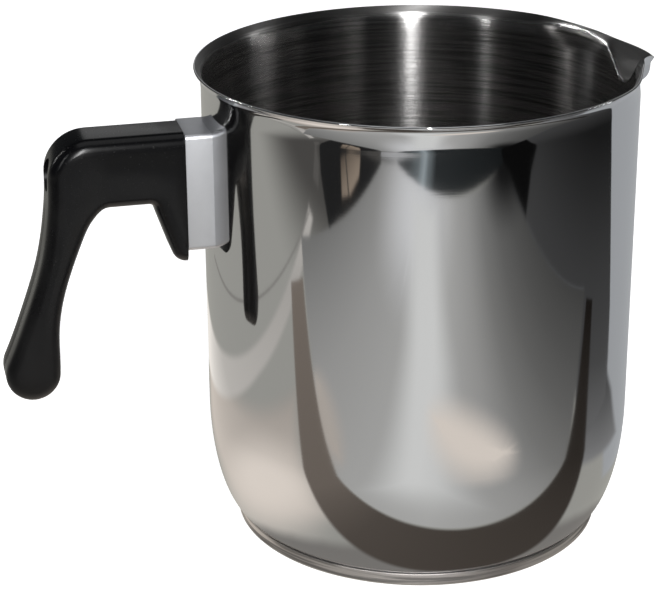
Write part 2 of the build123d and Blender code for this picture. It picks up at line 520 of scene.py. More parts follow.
def run(start: Point, end: Point, steps: int) -> list[Point]:
    """Evenly spaced points along a straight run.

    Args:
        start: its first point.
        end: its last point.
        steps: number of equal steps.

    Returns:
        steps + 1 points.
    """
    (x, z), (far_x, far_z) = start, end
    return [
        (x + (far_x - x) * step / steps, z + (far_z - z) * step / steps)
        for step in range(steps + 1)
    ]


def flowing(knots: Sequence[Point], first: Point, last: Point, steps: int) -> list[Point]:
    """A smooth line through a few knots.

    Args:
        knots: the points that it passes.
        first: its direction at the first knot.
        last: its direction at the last knot.
        steps: runs between two knots.

    Returns:
        Points along the line, both ends included.
    """
    places = [Vector(knot) for knot in knots]
    ways = [Vector(first).normalized()]
    for before, after in zip(places, places[2:]):
        ways.append((after - before).normalized())
    ways.append(Vector(last).normalized())
    line: list[Point] = []
    for index in range(len(places) - 1):
        a, b = places[index], places[index + 1]
        reach = (b - a).length / 3
        bent = interpolate_bezier(a, a + ways[index] * reach, b - ways[index + 1] * reach, b, steps + 1)
        line += [(point.x, point.y) for point in bent[:-1]]
    return line + [tuple(places[-1])]


def joined(*runs: Sequence[Point]) -> list[Point]:
    """Strings runs of points together.

    Args:
        runs: the runs in order.

    Returns:
        One line, without the points that two runs share.
    """
    line: list[Point] = []
    for points in runs:
        for point in points:
            if not line or math.dist(line[-1], point) > SAME_PLACE:
                line.append(point)
    return line


def lathe(mesh: bmesh.types.BMesh, edges: Edges, steps: int) -> None:
    """Turns a line once round the Z axis, closes seam and poles and points the faces outwards.

    Args:
        mesh: the mesh that holds the line.
        edges: the line.
        steps: columns of faces round the axis.
    """
    verts = list(dict.fromkeys(vert for edge in edges for vert in edge.verts))
    bmesh.ops.spin(
        mesh,
        geom=verts + edges,
        axis=(0, 0, 1),
        cent=(0, 0, 0),
        angle=2 * math.pi,
        steps=steps,
        use_merge=True,
    )
    bmesh.ops.remove_doubles(mesh, verts=mesh.verts, dist=SAME_PLACE)
    bmesh.ops.recalc_face_normals(mesh, faces=mesh.faces)


def as_object(
    mesh: bmesh.types.BMesh, name: str, finishes: Sequence[bpy.types.Material]
) -> bpy.types.Object:
    """Turns a mesh in millimetres into an object in metres.

    Args:
        mesh: the mesh, which is freed.
        name: the object's name.
        finishes: materials by face material index.

    Returns:
        The object, at the origin.
    """
    bmesh.ops.scale(mesh, vec=(METRES, METRES, METRES), verts=mesh.verts)
    data = bpy.data.meshes.new(name)
    mesh.to_mesh(data)
    mesh.free()
    data.shade_smooth()
    data.set_sharp_from_angle(angle=math.radians(CREASE))
    for finish in finishes:
        data.materials.append(finish)
    made = bpy.data.objects.new(name, data)
    bpy.context.scene.collection.objects.link(made)
    return made


def stands_for(piece: bpy.types.Object, slot: Slot, *nodes: str) -> None:
    """Lets a detailed piece ride on the pot and stand for CAD nodes.

    Args:
        piece: the detailed piece.
        slot: its material slot; not used.
        nodes: names of the CAD nodes that it replaces.
    """
    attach(piece, "root")
    if nodes:
        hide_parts(*nodes)
    log.info("%s: %d faces", piece.name, len(piece.data.polygons))


def dress(nodes: dict[str, bpy.types.Object], name: str, finish: bpy.types.Material) -> None:
    """Gives a CAD node that keeps its shape a finish of its own.

    Args:
        nodes: the CAD objects by name.
        name: the node.
        finish: its material.
    """
    data = nodes[name].data
    data.materials.clear()
    data.materials.append(finish)
    log.info("%s: finish %s", name, finish.name)


def smooth_max(first: float, second: float, width: float) -> float:
    """The larger of two values, rounded where they are nearly equal.

    Args:
        first: one value.
        second: the other.
        width: how near they are where the rounding starts.

    Returns:
        The rounded maximum.
    """
    overlap = max(width - abs(first - second), 0.0) / width
    return max(first, second) + overlap * overlap * width / 4


def smooth_step(value: float, low: float, high: float) -> float:
    """A smooth rise from 0 to 1.

    Args:
        value: where it is read.
        low: the result is 0 up to here.
        high: the result is 1 from here.

    Returns:
        The height of the rise.
    """
    share = min(max((value - low) / (high - low), 0.0), 1.0)
    return share * share * (3 - 2 * share)


# ---------------------------------------------------------------- the pot


@dataclass
class PotShell:
    """The drawn shell: floor, rounded corner, wall, flared lip and the beak pressed out of it.

    Lengths are in millimetres and angles in degrees.
    """

    radius: float = 70.0
    sheet: float = 0.8
    floor_z: float = 4.2
    corner_radial: float = 11.4
    corner_top: float = 41.7
    rim_z: float = 156.5
    flare_from: float = 148.3
    flare_tilt: float = 8.0
    bend_z: float = 153.09
    lip_radius: float = 3.94
    lip_sweep: float = 53.0
    floor_steps: int = 7
    corner_steps: int = 24
    wall_steps: int = 9
    chin_steps: int = 28
    lip_steps: int = 9
    edge_steps: int = 6
    columns: int = 448
    crowding: float = 0.62  # share by which columns move towards the spout
    inner_share: float = 0.75  # depth in the sheet from which the inside's finish starts
    beak_reach: float = 9.2
    beak_half_width: float = 12.3
    beak_flare: float = 0.71
    beak_opening: float = 0.68
    chin_top: float = 150.2
    chin_bottom: float = 143.4
    chin_fullness: float = 3.0  # power of the chin's superellipse
    chin_below: float = 1.0  # crowded rows start this far under the chin
    chin_above: float = 4.0  # and end this far above its bottom
    lip_widening: float = 1.6
    nose_rounding: float = 1.7
    root_rounding: float = 1.3
    droop: float = 4.3
    droop_width: float = 9.0
    droop_fades: Point = (8.0, 40.0)  # from here to here beside the spout it dies away
    droop_from: float = 143.0
    tip_rounding: float = 1.0
    pinch: float = 1.4
    pinch_angle: float = 24.0
    pinch_half_angle: float = 18.0
    pinch_from: float = 147.0

    def side_line(self, depth: float) -> list[Point]:
        """Half section of one side of the sheet.

        Args:
            depth: distance of that side from the outside.

        Returns:
            Points from the pot's axis out along the floor and up to the lip's end.
        """
        radius = self.radius - depth
        radial = self.corner_radial - depth
        floor = self.floor_z + depth
        flat = radius - radial
        bend = self.lip_radius + depth
        tilt = math.radians(self.flare_tilt)
        bend_x = self.radius + self.flared(self.bend_z) + self.lip_radius * math.cos(tilt)
        bend_centre = (bend_x, self.bend_z - self.lip_radius * math.sin(tilt))
        below_chin = self.chin_bottom - self.chin_below
        in_chin = self.chin_bottom + self.chin_above
        wall = joined(
            run((radius, self.corner_top), (radius, below_chin), self.wall_steps),
            run((radius, below_chin), (radius, in_chin), self.chin_steps),
            run((radius, in_chin), (radius, self.bend_z), self.wall_steps),
        )
        corner_radii = (radial, self.corner_top - floor)
        lip_start, lip_turn = 180 - self.flare_tilt, self.flare_tilt - self.lip_sweep
        return joined(
            run((0.0, floor), (flat, floor), self.floor_steps),
            arc((flat, self.corner_top), corner_radii, 270, 90, self.corner_steps),
            [(x + self.flared(z), z) for x, z in wall],
            arc(bend_centre, (bend, bend), lip_start, lip_turn, self.lip_steps),
        )

    def flared(self, z: float) -> float:
        """How far the wall leans out in the gentle flare below the lip's bend.

        Args:
            z: height.

        Returns:
            The lean at that height.
        """
        share = min(max((z - self.flare_from) / (self.bend_z - self.flare_from), 0.0), 1.0)
        reach = math.tan(math.radians(self.flare_tilt)) * (self.bend_z - self.flare_from) / 2
        return reach * share * share

    def lip_edge(self) -> list[Point]:
        """The sheet's rounded edge.

        Returns:
            Points from the outside of the lip to its inside.
        """
        outside = self.side_line(0.0)[-1]
        inside = self.side_line(self.sheet)[-1]
        middle = ((outside[0] + inside[0]) / 2, (outside[1] + inside[1]) / 2)
        start = math.degrees(math.atan2(outside[1] - middle[1], outside[0] - middle[0]))
        half = self.sheet / 2
        return arc(middle, (half, half), start, 180, self.edge_steps)

    def beak_line(self, y: float, z: float, depth: float) -> float:
        """How far out the beak stands at one point of its front.

        Args:
            y: distance to the side of the spout's middle plane.
            z: height.
            depth: distance of this side of the sheet from the outside.

        Returns:
            The distance from the pot's axis along X, far inside the wall where there is no beak.
        """
        bottom = self.chin_bottom + depth
        if z <= bottom or abs(y) > 2 * self.beak_half_width:
            return 0.0
        below = max((self.chin_top - z) / (self.chin_top - bottom), 0.0)
        full = (1.0 - below**self.chin_fullness) ** (1.0 / self.chin_fullness)
        reach = (self.beak_reach - depth) * full + self.beak_flare * max(z - self.chin_top, 0.0)
        opened = ((z - bottom) / (self.rim_z - bottom)) ** self.beak_opening
        half = (self.beak_half_width - depth) * opened + self.lip_widening * self.lip_offset(z)
        nose = self.nose_rounding * full
        aside = math.sqrt(y * y + nose * nose) - nose
        return self.radius - self.sheet + reach * (1.0 - aside / half)

    def lip_offset(self, z: float) -> float:
        """How far the flared lip has turned out of the wall.

        Args:
            z: height.

        Returns:
            Its distance from the straight wall at that height.
        """
        tilt = math.radians(self.flare_tilt)
        rise = min(max(z - self.bend_z, 0.0) / self.lip_radius + math.sin(tilt), 1.0)
        return self.flared(z) + self.lip_radius * (math.cos(tilt) - math.sqrt(1.0 - rise * rise))

    def pinched(self, x: float, y: float, z: float) -> float:
        """How much of its distance from the axis a point keeps where the wall is drawn in.

        Args:
            x: the point's distance towards the spout.
            y: its distance to the side.
            z: its height.

        Returns:
            The share that it keeps.
        """
        angle = abs(math.degrees(math.atan2(y, x)))
        beside = 1.0 - min(abs(angle - self.pinch_angle) / self.pinch_half_angle, 1.0)
        drawn = self.pinch * smooth_step(beside, 0.0, 1.0) * smooth_step(z, self.pinch_from, self.rim_z)
        return 1.0 - drawn / self.radius

    def press_beak(self, mesh: bmesh.types.BMesh, depths: bmesh.types.BMLayerItem) -> None:
        """Presses the beak out of the wall, lets its pouring edge droop and draws the rim in beside it.

        Args:
            mesh: the turned shell.
            depths: each vertex's depth in the sheet.
        """
        droop_end = 2 * self.rim_z - self.droop_from
        for vert in mesh.verts:
            x, y, z = vert.co
            if x < self.radius / 2 or z < self.chin_bottom - self.chin_below:
                continue
            kept = self.pinched(x, y, z)
            x, y = x * kept, y * kept
            aside = math.sqrt(y * y + self.tip_rounding**2) - self.tip_rounding
            near = 1.0 - smooth_step(aside, *self.droop_fades)
            lowered = self.droop * math.exp(-aside / self.droop_width) * near
            z -= lowered * smooth_step(z, self.droop_from, droop_end) * 2.0  # all of it at the rim
            out = self.beak_line(y, z, vert[depths] * self.sheet)
            vert.co = (smooth_max(x, out, self.root_rounding), y, z)

    def build(self, outside: bpy.types.Material, inside: bpy.types.Material) -> bpy.types.Object:
        """Makes the shell.

        Args:
            outside: finish of the outside and the lip.
            inside: finish of the inside.

        Returns:
            The shell's object.
        """
        mesh = bmesh.new()
        depths = mesh.verts.layers.float.new("depth")
        outer = self.side_line(0.0)
        inner = self.side_line(self.sheet)
        edges = chain(mesh, joined(outer, self.lip_edge(), list(reversed(inner))))
        self.mark_depths(mesh, depths)
        lathe(mesh, edges, self.columns)
        self.crowd_columns(mesh)
        self.press_beak(mesh, depths)
        for face in mesh.faces:
            depth = sum(vert[depths] for vert in face.verts) / len(face.verts)
            face.material_index = 1 if depth > self.inner_share else 0
        bmesh.ops.recalc_face_normals(mesh, faces=mesh.faces)
        piece = as_object(mesh, "pot_shell", (outside, inside))
        stands_for(piece, Slot.POLISHED, "pot_body")
        return piece

    def mark_depths(self, mesh: bmesh.types.BMesh, depths: bmesh.types.BMLayerItem) -> None:
        """Notes how deep in the sheet each vertex of the section lies.

        Args:
            mesh: the section.
            depths: the layer that takes the depths, 0 outside to 1 inside.
        """
        outer = self.side_line(0.0)
        inner = self.side_line(self.sheet)
        edge = self.lip_edge()
        for vert in mesh.verts:
            place = (vert.co.x, vert.co.z)
            if min(math.dist(place, point) for point in outer) < 10 * SAME_PLACE:
                vert[depths] = 0.0
            elif min(math.dist(place, point) for point in inner) < 10 * SAME_PLACE:
                vert[depths] = 1.0
            else:
                nearest = min(range(len(edge)), key=lambda index: math.dist(place, edge[index]))
                vert[depths] = nearest / (len(edge) - 1)

    def crowd_columns(self, mesh: bmesh.types.BMesh) -> None:
        """Crowds the columns of faces towards the spout, where the beak needs them.

        Args:
            mesh: the turned shell.
        """
        for vert in mesh.verts:
            radius = math.hypot(vert.co.x, vert.co.y)
            if radius > 0.0:
                angle = math.atan2(vert.co.y, vert.co.x)
                angle -= self.crowding * math.sin(angle)
                vert.co.x = radius * math.cos(angle)
                vert.co.y = radius * math.sin(angle)


@dataclass
class SandwichBase:
    """The encapsulated base: a stamped steel dish round an aluminium core, in millimetres."""

    radius: float = 61.0
    sheet: float = 0.6
    top_z: float = 4.5
    edge_radius: float = 1.3
    lip_radius: float = 0.22
    groove_radii: tuple[float, ...] = (22.0, 36.0, 50.0)
    groove_half_width: float = 1.0
    groove_depth: float = 0.25
    groove_shape: tuple[Point, ...] = (  # in shares of half width and depth
        (-1.3, 0.0), (-1.0, 0.2), (-0.55, 0.9), (0.0, 1.0), (0.55, 0.9), (1.0, 0.2), (1.3, 0.0)
    )
    first_step: float = 8.0  # from the axis to the first ring of vertices
    last_step: float = 2.0  # from the last groove's middle to the next ring of vertices
    columns: int = 256

    def underside(self) -> list[Point]:
        """Section of the underside with its stamped rings.

        Returns:
            Points from the middle outwards.
        """
        line: list[Point] = [(0.0, 0.0), (self.first_step, 0.0)]
        for ring in self.groove_radii:
            groove = [
                (ring + across * self.groove_half_width, up * self.groove_depth)
                for across, up in self.groove_shape
            ]
            line += run(line[-1], groove[0], 3)[1:] + groove[1:]
        return line

    def build(self, finish: bpy.types.Material) -> bpy.types.Object:
        """Makes the dish.

        Args:
            finish: its finish.

        Returns:
            The dish's object.
        """
        mesh = bmesh.new()
        edge = self.edge_radius
        lip = self.lip_radius
        inside = self.radius - self.sheet
        section = joined(
            self.underside(),
            run((self.groove_radii[-1] + self.last_step, 0.0), (self.radius - edge, 0.0), 4),
            arc((self.radius - edge, edge), (edge, edge), 270, 90, 8),
            run((self.radius, edge), (self.radius, self.top_z - lip), 6),
            arc((self.radius - lip, self.top_z - lip), (lip, lip), 0, 90, 4),
            run((inside + lip, self.top_z), (inside, self.top_z), 1),
            run((inside, self.top_z), (inside, self.sheet), 3),
            run((inside, self.sheet), (0.0, self.sheet), 4),
        )
        lathe(mesh, chain(mesh, section), self.columns)
        piece = as_object(mesh, "base_dish", (finish,))
        stands_for(piece, Slot.BASE, "base_cap")
        return piece


@dataclass
class Ferrule:
    """The metal block between wall and grip, hollowed to the wall's curve, in millimetres."""

    wall_radius: float = 70.0
    far_x: float = 77.9
    width: float = 19.8
    bottom_z: float = 102.2
    top_z: float = 140.5
    edge_radius: float = 1.6
    joint_chamfer: float = 0.3
    overlap: float = 2.0  # how far the blank reaches inside the wall before it is cut to the curve
    slices: int = 18  # bands across, which follow the wall's curve

    def build(self, finish: bpy.types.Material) -> bpy.types.Object:
        """Makes the block.

        Args:
            finish: its finish.

        Returns:
            The block's object.
        """
        mesh = bmesh.new()
        near_x = self.wall_radius - self.overlap
        size = (self.far_x - near_x, self.width, self.top_z - self.bottom_z)
        centre = (-(self.far_x + near_x) / 2, 0.0, (self.top_z + self.bottom_z) / 2)
        placed = Matrix.Translation(centre) @ Matrix.Diagonal((*size, 1.0))
        bmesh.ops.create_cube(mesh, size=1.0, matrix=placed)
        long_edges = [edge for edge in mesh.edges if abs((edge.verts[0].co - edge.verts[1].co).x) > 1.0]
        self.round_off(mesh, long_edges, self.edge_radius, 6)
        front = [
            edge
            for edge in mesh.edges
            if all(abs(vert.co.x + self.far_x) < SAME_PLACE for vert in edge.verts)
        ]
        self.round_off(mesh, front, self.joint_chamfer, 2)
        for step in range(1, self.slices):
            y = (step - self.slices / 2) * self.width / self.slices
            geometry = mesh.verts[:] + mesh.edges[:] + mesh.faces[:]
            bmesh.ops.bisect_plane(mesh, geom=geometry, plane_co=(0, y, 0), plane_no=(0, 1, 0))
        for vert in mesh.verts:
            if vert.co.x > -near_x - SAME_PLACE:
                vert.co.x = -math.sqrt(self.wall_radius**2 - vert.co.y**2)
        bmesh.ops.recalc_face_normals(mesh, faces=mesh.faces)
        piece = as_object(mesh, "ferrule_block", (finish,))
        stands_for(piece, Slot.FERRULE, "ferrule")
        return piece

    @staticmethod
    def round_off(mesh: bmesh.types.BMesh, edges: Edges, radius: float, segments: int) -> None:
        """Rounds edges off.

        Args:
            mesh: the block.
            edges: its edges to round.
            radius: how far from the edge the rounding starts.
            segments: faces across the rounding.
        """
        bmesh.ops.bevel(
            mesh,
            geom=edges,
            offset=radius,
            offset_type="OFFSET",
            affect="EDGES",
            segments=segments,
            profile=0.5,
            material=-1,
        )


@dataclass
class Grip:
    """The moulded handle: arm, gusset under it and a grip that ends in a bulb.

    Lengths are in millimetres and angles in degrees. Points are distances from the axis and heights.
    """

    joint_x: float = 77.9
    top_z: float = 140.7
    width: float = 19.8
    bulb_width: float = 18.2
    edge_radius: float = 4.3
    under_z: float = 117.9
    arm_end_x: float = 102.0
    elbow_x: float = 120.6
    elbow_radius: float = 13.5
    gusset_heel: Point = (88.2, 117.9)
    gusset_toe: Point = (81.4, 97.9)
    toe_radius: float = 4.5
    heel_radius: float = 2.0
    bulb_centre: Point = (128.6, 63.5)
    bulb_radius: float = 8.7
    bulb_start: float = 25.0
    bulb_sweep: float = 200.0
    back: tuple[Point, ...] = ((121.4, 115.5), (124.3, 99.8), (129.8, 83.4))
    front: tuple[Point, ...] = ((119.3, 79.0), (116.8, 91.0), (111.2, 106.2), (107.2, 114.0))
    screw_z: float = 128.0
    bore_radius: float = 5.2
    seat_x: float = 110.8
    crown: float = 0.12
    crown_width: float = 0.5
    band_height: float = 4.0
    parting_half_width: float = 0.16
    parting_height: float = 0.05
    heel_clear: float = 1.5  # the arm's underside stops this far from the gusset's heel
    corner_steps: int = 8
    hole_overlap: float = 4.0  # the hole's cutter stands this far out of the grip's back

    def rounded_corner(self, before: Point, corner: Point, after: Point, radius: float) -> list[Point]:
        """Points of an arc that rounds one corner of the outline.

        Args:
            before: a point on the run towards the corner.
            corner: the sharp corner.
            after: a point on the run away from it.
            radius: the arc's radius.

        Returns:
            Points along the arc.
        """
        middle = Vector(corner)
        one = (Vector(before) - middle).normalized()
        two = (Vector(after) - middle).normalized()
        half = one.angle(two) / 2
        length = radius / math.tan(half)
        start, end = middle + one * length, middle + two * length
        centre = middle + (one + two).normalized() * (radius / math.sin(half))
        points = []
        for step in range(self.corner_steps + 1):
            chord = start.lerp(end, step / self.corner_steps) - centre
            points.append(tuple(centre + chord.normalized() * radius))
        return points

    def outline(self) -> list[Point]:
        """Side view of the handle, with x away from the pot.

        Returns:
            Points from the top of the joint round to its bottom.
        """
        elbow = (self.elbow_x - self.elbow_radius, self.top_z - self.elbow_radius)
        round_elbow = arc(elbow, (self.elbow_radius, self.elbow_radius), 90, -90, 14)
        bulb_radii = (self.bulb_radius, self.bulb_radius)
        bulb = arc(self.bulb_centre, bulb_radii, self.bulb_start, -self.bulb_sweep, 26)
        way_in = (math.sin(math.radians(self.bulb_start)), -math.cos(math.radians(self.bulb_start)))
        end = math.radians(self.bulb_start - self.bulb_sweep)
        way_out = (math.sin(end), -math.cos(end))
        arm_end = (self.arm_end_x, self.under_z)
        toe_end = (self.joint_x, self.gusset_toe[1])
        return joined(
            run((self.joint_x, self.top_z), round_elbow[0], 10),
            round_elbow,
            flowing((round_elbow[-1], *self.back, bulb[0]), (0, -1), way_in, 8),
            bulb,
            flowing((bulb[-1], *self.front, arm_end), way_out, (-1, 0), 6),
            run(arm_end, (self.gusset_heel[0] + self.heel_clear, self.under_z), 4),
            self.rounded_corner(arm_end, self.gusset_heel, self.gusset_toe, self.heel_radius),
            self.rounded_corner(self.gusset_heel, self.gusset_toe, toe_end, self.toe_radius),
            [toe_end],
        )

    def build(self, finish: bpy.types.Material) -> bpy.types.Object:
        """Makes the handle.

        Args:
            finish: its finish.

        Returns:
            The handle's object.
        """
        mesh = bmesh.new()
        outline = [(-x, z) for x, z in self.outline()]
        chain(mesh, outline + [outline[0]])
        bmesh.ops.remove_doubles(mesh, verts=mesh.verts, dist=SAME_PLACE)
        side = bmesh.ops.contextual_create(mesh, geom=mesh.edges[:])["faces"]
        bmesh.ops.translate(mesh, verts=mesh.verts, vec=(0, -self.width / 2, 0))
        grown = bmesh.ops.extrude_face_region(mesh, geom=side, use_keep_orig=True)["geom"]
        far = [item for item in grown if isinstance(item, bmesh.types.BMVert)]
        bmesh.ops.translate(mesh, verts=far, vec=(0, self.width, 0))
        bmesh.ops.recalc_face_normals(mesh, faces=mesh.faces)
        rims = [edge for edge in mesh.edges if self.is_rim(edge)]
        bmesh.ops.bevel(
            mesh,
            geom=rims,
            offset=self.edge_radius,
            offset_type="OFFSET",
            affect="EDGES",
            segments=8,
            profile=0.5,
            material=-1,
        )
        self.crown_sides(mesh)
        self.slice_sides(mesh)
        self.split_for_parting_line(mesh)
        self.taper(mesh)
        piece = as_object(mesh, "grip_moulding", (finish,))
        self.drill(piece)
        stands_for(piece, Slot.BAKELITE, "handle")
        return piece

    def is_rim(self, edge: bmesh.types.BMEdge) -> bool:
        """Whether an edge lies on the outline of a side, away from the joint's face.

        Args:
            edge: the edge.

        Returns:
            True for an edge that is rounded.
        """
        first, second = (vert.co for vert in edge.verts)
        along_side = abs(first.y - second.y) < SAME_PLACE
        at_joint = all(abs(end.x + self.joint_x) < 10 * SAME_PLACE for end in (first, second))
        return along_side and not at_joint

    def crown_sides(self, mesh: bmesh.types.BMesh) -> None:
        """Leaves the flat sides standing a little proud of their edges.

        Args:
            mesh: the handle.
        """
        half = self.width / 2
        caps = [
            face
            for face in mesh.faces
            if all(abs(abs(vert.co.y) - half) < SAME_PLACE for vert in face.verts)
        ]
        for vert in mesh.verts:
            vert.co.y *= 1.0 - 2 * self.crown / self.width
        bmesh.ops.inset_region(
            mesh, faces=caps, thickness=self.crown_width, depth=self.crown, use_even_offset=True
        )

    def slice_sides(self, mesh: bmesh.types.BMesh) -> None:
        """Cuts the sides into level bands, so that they bend evenly where the grip tapers.

        Args:
            mesh: the handle.
        """
        z = self.bulb_centre[1] - self.bulb_radius + self.band_height
        while z < self.under_z + self.band_height:
            geometry = mesh.verts[:] + mesh.edges[:] + mesh.faces[:]
            bmesh.ops.bisect_plane(mesh, geom=geometry, plane_co=(0, 0, z), plane_no=(0, 0, 1))
            z += self.band_height

    def split_for_parting_line(self, mesh: bmesh.types.BMesh) -> None:
        """Raises a hair of flash where the mould's halves met.

        Args:
            mesh: the handle.
        """
        for y in (-self.parting_half_width, 0.0, self.parting_half_width):
            geometry = mesh.verts[:] + mesh.edges[:] + mesh.faces[:]
            bmesh.ops.bisect_plane(mesh, geom=geometry, plane_co=(0, y, 0), plane_no=(0, 1, 0))
        mesh.normal_update()
        for vert in mesh.verts:
            if abs(vert.co.y) < SAME_PLACE and vert.co.z < self.under_z:
                vert.co -= vert.normal * self.parting_height

    def taper(self, mesh: bmesh.types.BMesh) -> None:
        """Narrows the grip from the arm down to the bulb.

        Args:
            mesh: the handle.
        """
        end_z = self.bulb_centre[1] - self.bulb_radius
        for vert in mesh.verts:
            share = 1.0 - smooth_step(vert.co.z, end_z, self.under_z)
            vert.co.y *= 1.0 + (self.bulb_width / self.width - 1.0) * share

    def drill(self, piece: bpy.types.Object) -> None:
        """Sinks the screw's access hole into the back of the handle.

        Args:
            piece: the handle's object.
        """
        mesh = bmesh.new()
        depth = self.elbow_x + self.hole_overlap - self.seat_x
        middle = Matrix.Translation((-(self.seat_x + depth / 2), 0, self.screw_z))
        bmesh.ops.create_cone(
            mesh,
            cap_ends=True,
            segments=64,
            radius1=self.bore_radius,
            radius2=self.bore_radius,
            depth=depth,
            matrix=middle @ Matrix.Rotation(math.pi / 2, 4, "Y"),
        )
        cutter = as_object(mesh, "screw_hole_cutter", ())
        cut = piece.modifiers.new("screw_hole", "BOOLEAN")
        cut.operation = "DIFFERENCE"
        cut.solver = "EXACT"
        cut.object = cutter
        bpy.context.view_layer.update()
        seen = piece.evaluated_get(bpy.context.evaluated_depsgraph_get())
        drilled = bpy.data.meshes.new_from_object(seen)
        piece.modifiers.clear()
        piece.data = drilled
        drilled.set_sharp_from_angle(angle=math.radians(CREASE))
        bpy.data.objects.remove(cutter)


# ---------------------------------------------------------------- studio


@dataclass(frozen=True)
class SoftBox:
    """A soft rectangular lamp that looks at the pot.

    Angles are in degrees, lengths in metres and the power in watts. Azimuth 0 is the camera's side.
    """

    name: str
    azimuth: float
    elevation: float
    distance: float
    size: tuple[float, float]
    power: float

    def build(self, target: Vector) -> None:
        """Hangs the lamp round the target.

        Args:
            target: the place that it looks at.
        """
        turn, tilt = math.radians(self.azimuth), math.radians(self.elevation)
        level = math.cos(tilt)
        away = Vector((math.sin(turn) * level, -math.cos(turn) * level, math.sin(tilt)))
        data = bpy.data.lights.new(self.name, "AREA")
        data.shape = "RECTANGLE"
        data.size, data.size_y = self.size
        data.energy = self.power
        lamp = bpy.data.objects.new(self.name, data)
        lamp.location = target + away * self.distance
        lamp.rotation_mode = "QUATERNION"
        lamp.rotation_quaternion = (-away).to_track_quat("-Z", "Y")
        lamp.visible_camera = False
        bpy.context.scene.collection.objects.link(lamp)


@dataclass(frozen=True)
class Card:
    """A flat card lying on the table out of sight, which only the polished metal reflects.

    Corners and softness are in millimetres. Each tone is a place along X and the glow there.
    """

    name: str
    corners: tuple[Point, ...]
    tones: tuple[tuple[float, float], ...]
    tint: Colour = (1.0, 1.0, 1.0)
    softness: float = 2.0

    def build(self, height: float) -> None:
        """Lays the card down, fading out over its softness along the edge.

        Args:
            height: how high over the table it lies.
        """
        mesh = bmesh.new()
        chain(mesh, self.corners + (self.corners[0],))
        bmesh.ops.remove_doubles(mesh, verts=mesh.verts, dist=SAME_PLACE)
        faces = bmesh.ops.contextual_create(mesh, geom=mesh.edges[:])["faces"]
        lying = Matrix.Rotation(-math.pi / 2, 3, "X")
        bmesh.ops.rotate(mesh, verts=mesh.verts, cent=(0, 0, 0), matrix=lying)
        bmesh.ops.translate(mesh, verts=mesh.verts, vec=(0, 0, height))
        solid = mesh.verts.layers.float.new("solid")
        bmesh.ops.inset_region(
            mesh, faces=faces, thickness=self.softness, use_even_offset=True, use_boundary=True
        )
        for vert in faces[0].verts:
            vert[solid] = 1.0
        card = as_object(mesh, self.name, (self.glow(),))
        card.visible_camera = False
        card.visible_diffuse = False
        card.visible_shadow = False
        card.visible_transmission = False

    def glow(self) -> bpy.types.Material:
        """A glow that changes along X as the card's tones say.

        Returns:
            Its material, which fades to nothing at the card's edge.
        """
        shader = Shader(self.name + "_tone")
        first = self.tones[0][0]
        span = max(self.tones[-1][0] - first, 1.0)
        along = shader.node("ShaderNodeSeparateXYZ", None, {0: shader.place}).outputs[0]
        share = (Signal(shader, along) * (1 / METRES) - first) * (1 / span)
        stops = [
            ((x - first) / span, tuple(tone * channel for channel in self.tint))
            for x, tone in self.tones
        ]
        stops.append((1.0, stops[-1][1]))
        ramp = shader.node("ShaderNodeValToRGB", {"stops": stops}, {"Fac": share})
        glow = shader.node("ShaderNodeEmission", None, {"Color": ramp.outputs["Color"], "Strength": 1.0})
        solid = shader.node("ShaderNodeAttribute", {"attribute_name": "solid"}).outputs["Fac"]
        clear = shader.node("ShaderNodeBsdfTransparent")
        mixed = shader.node(
            "ShaderNodeMixShader",
            None,
            {0: Signal(shader, solid).band(0.0, 1.0), 1: clear.outputs[0], 2: glow.outputs[0]},
        )
        shader.node("ShaderNodeOutputMaterial", None, {"Surface": mixed.outputs[0]})
        return shader.material


def ellipse(centre: Point, radii: Point, turn: float = 0.0, sides: int = 24) -> tuple[Point, ...]:
    """Corners of an ellipse on the table.

    Args:
        centre: its middle.
        radii: its radii along X and Y before it is turned.
        turn: degrees it is turned.
        sides: number of corners.

    Returns:
        The corners in order.
    """
    cosine, sine = math.cos(math.radians(turn)), math.sin(math.radians(turn))
    ring = arc((0.0, 0.0), radii, 0.0, 360.0 - 360.0 / sides, sides - 1)
    return tuple((centre[0] + x * cosine - y * sine, centre[1] + x * sine + y * cosine) for x, y in ring)


WARM = (1.0, 0.95, 0.88)
SUNNY = (1.0, 0.90, 0.80)
CREAM = (1.0, 0.985, 0.90)
COOL = (0.97, 1.0, 1.03)


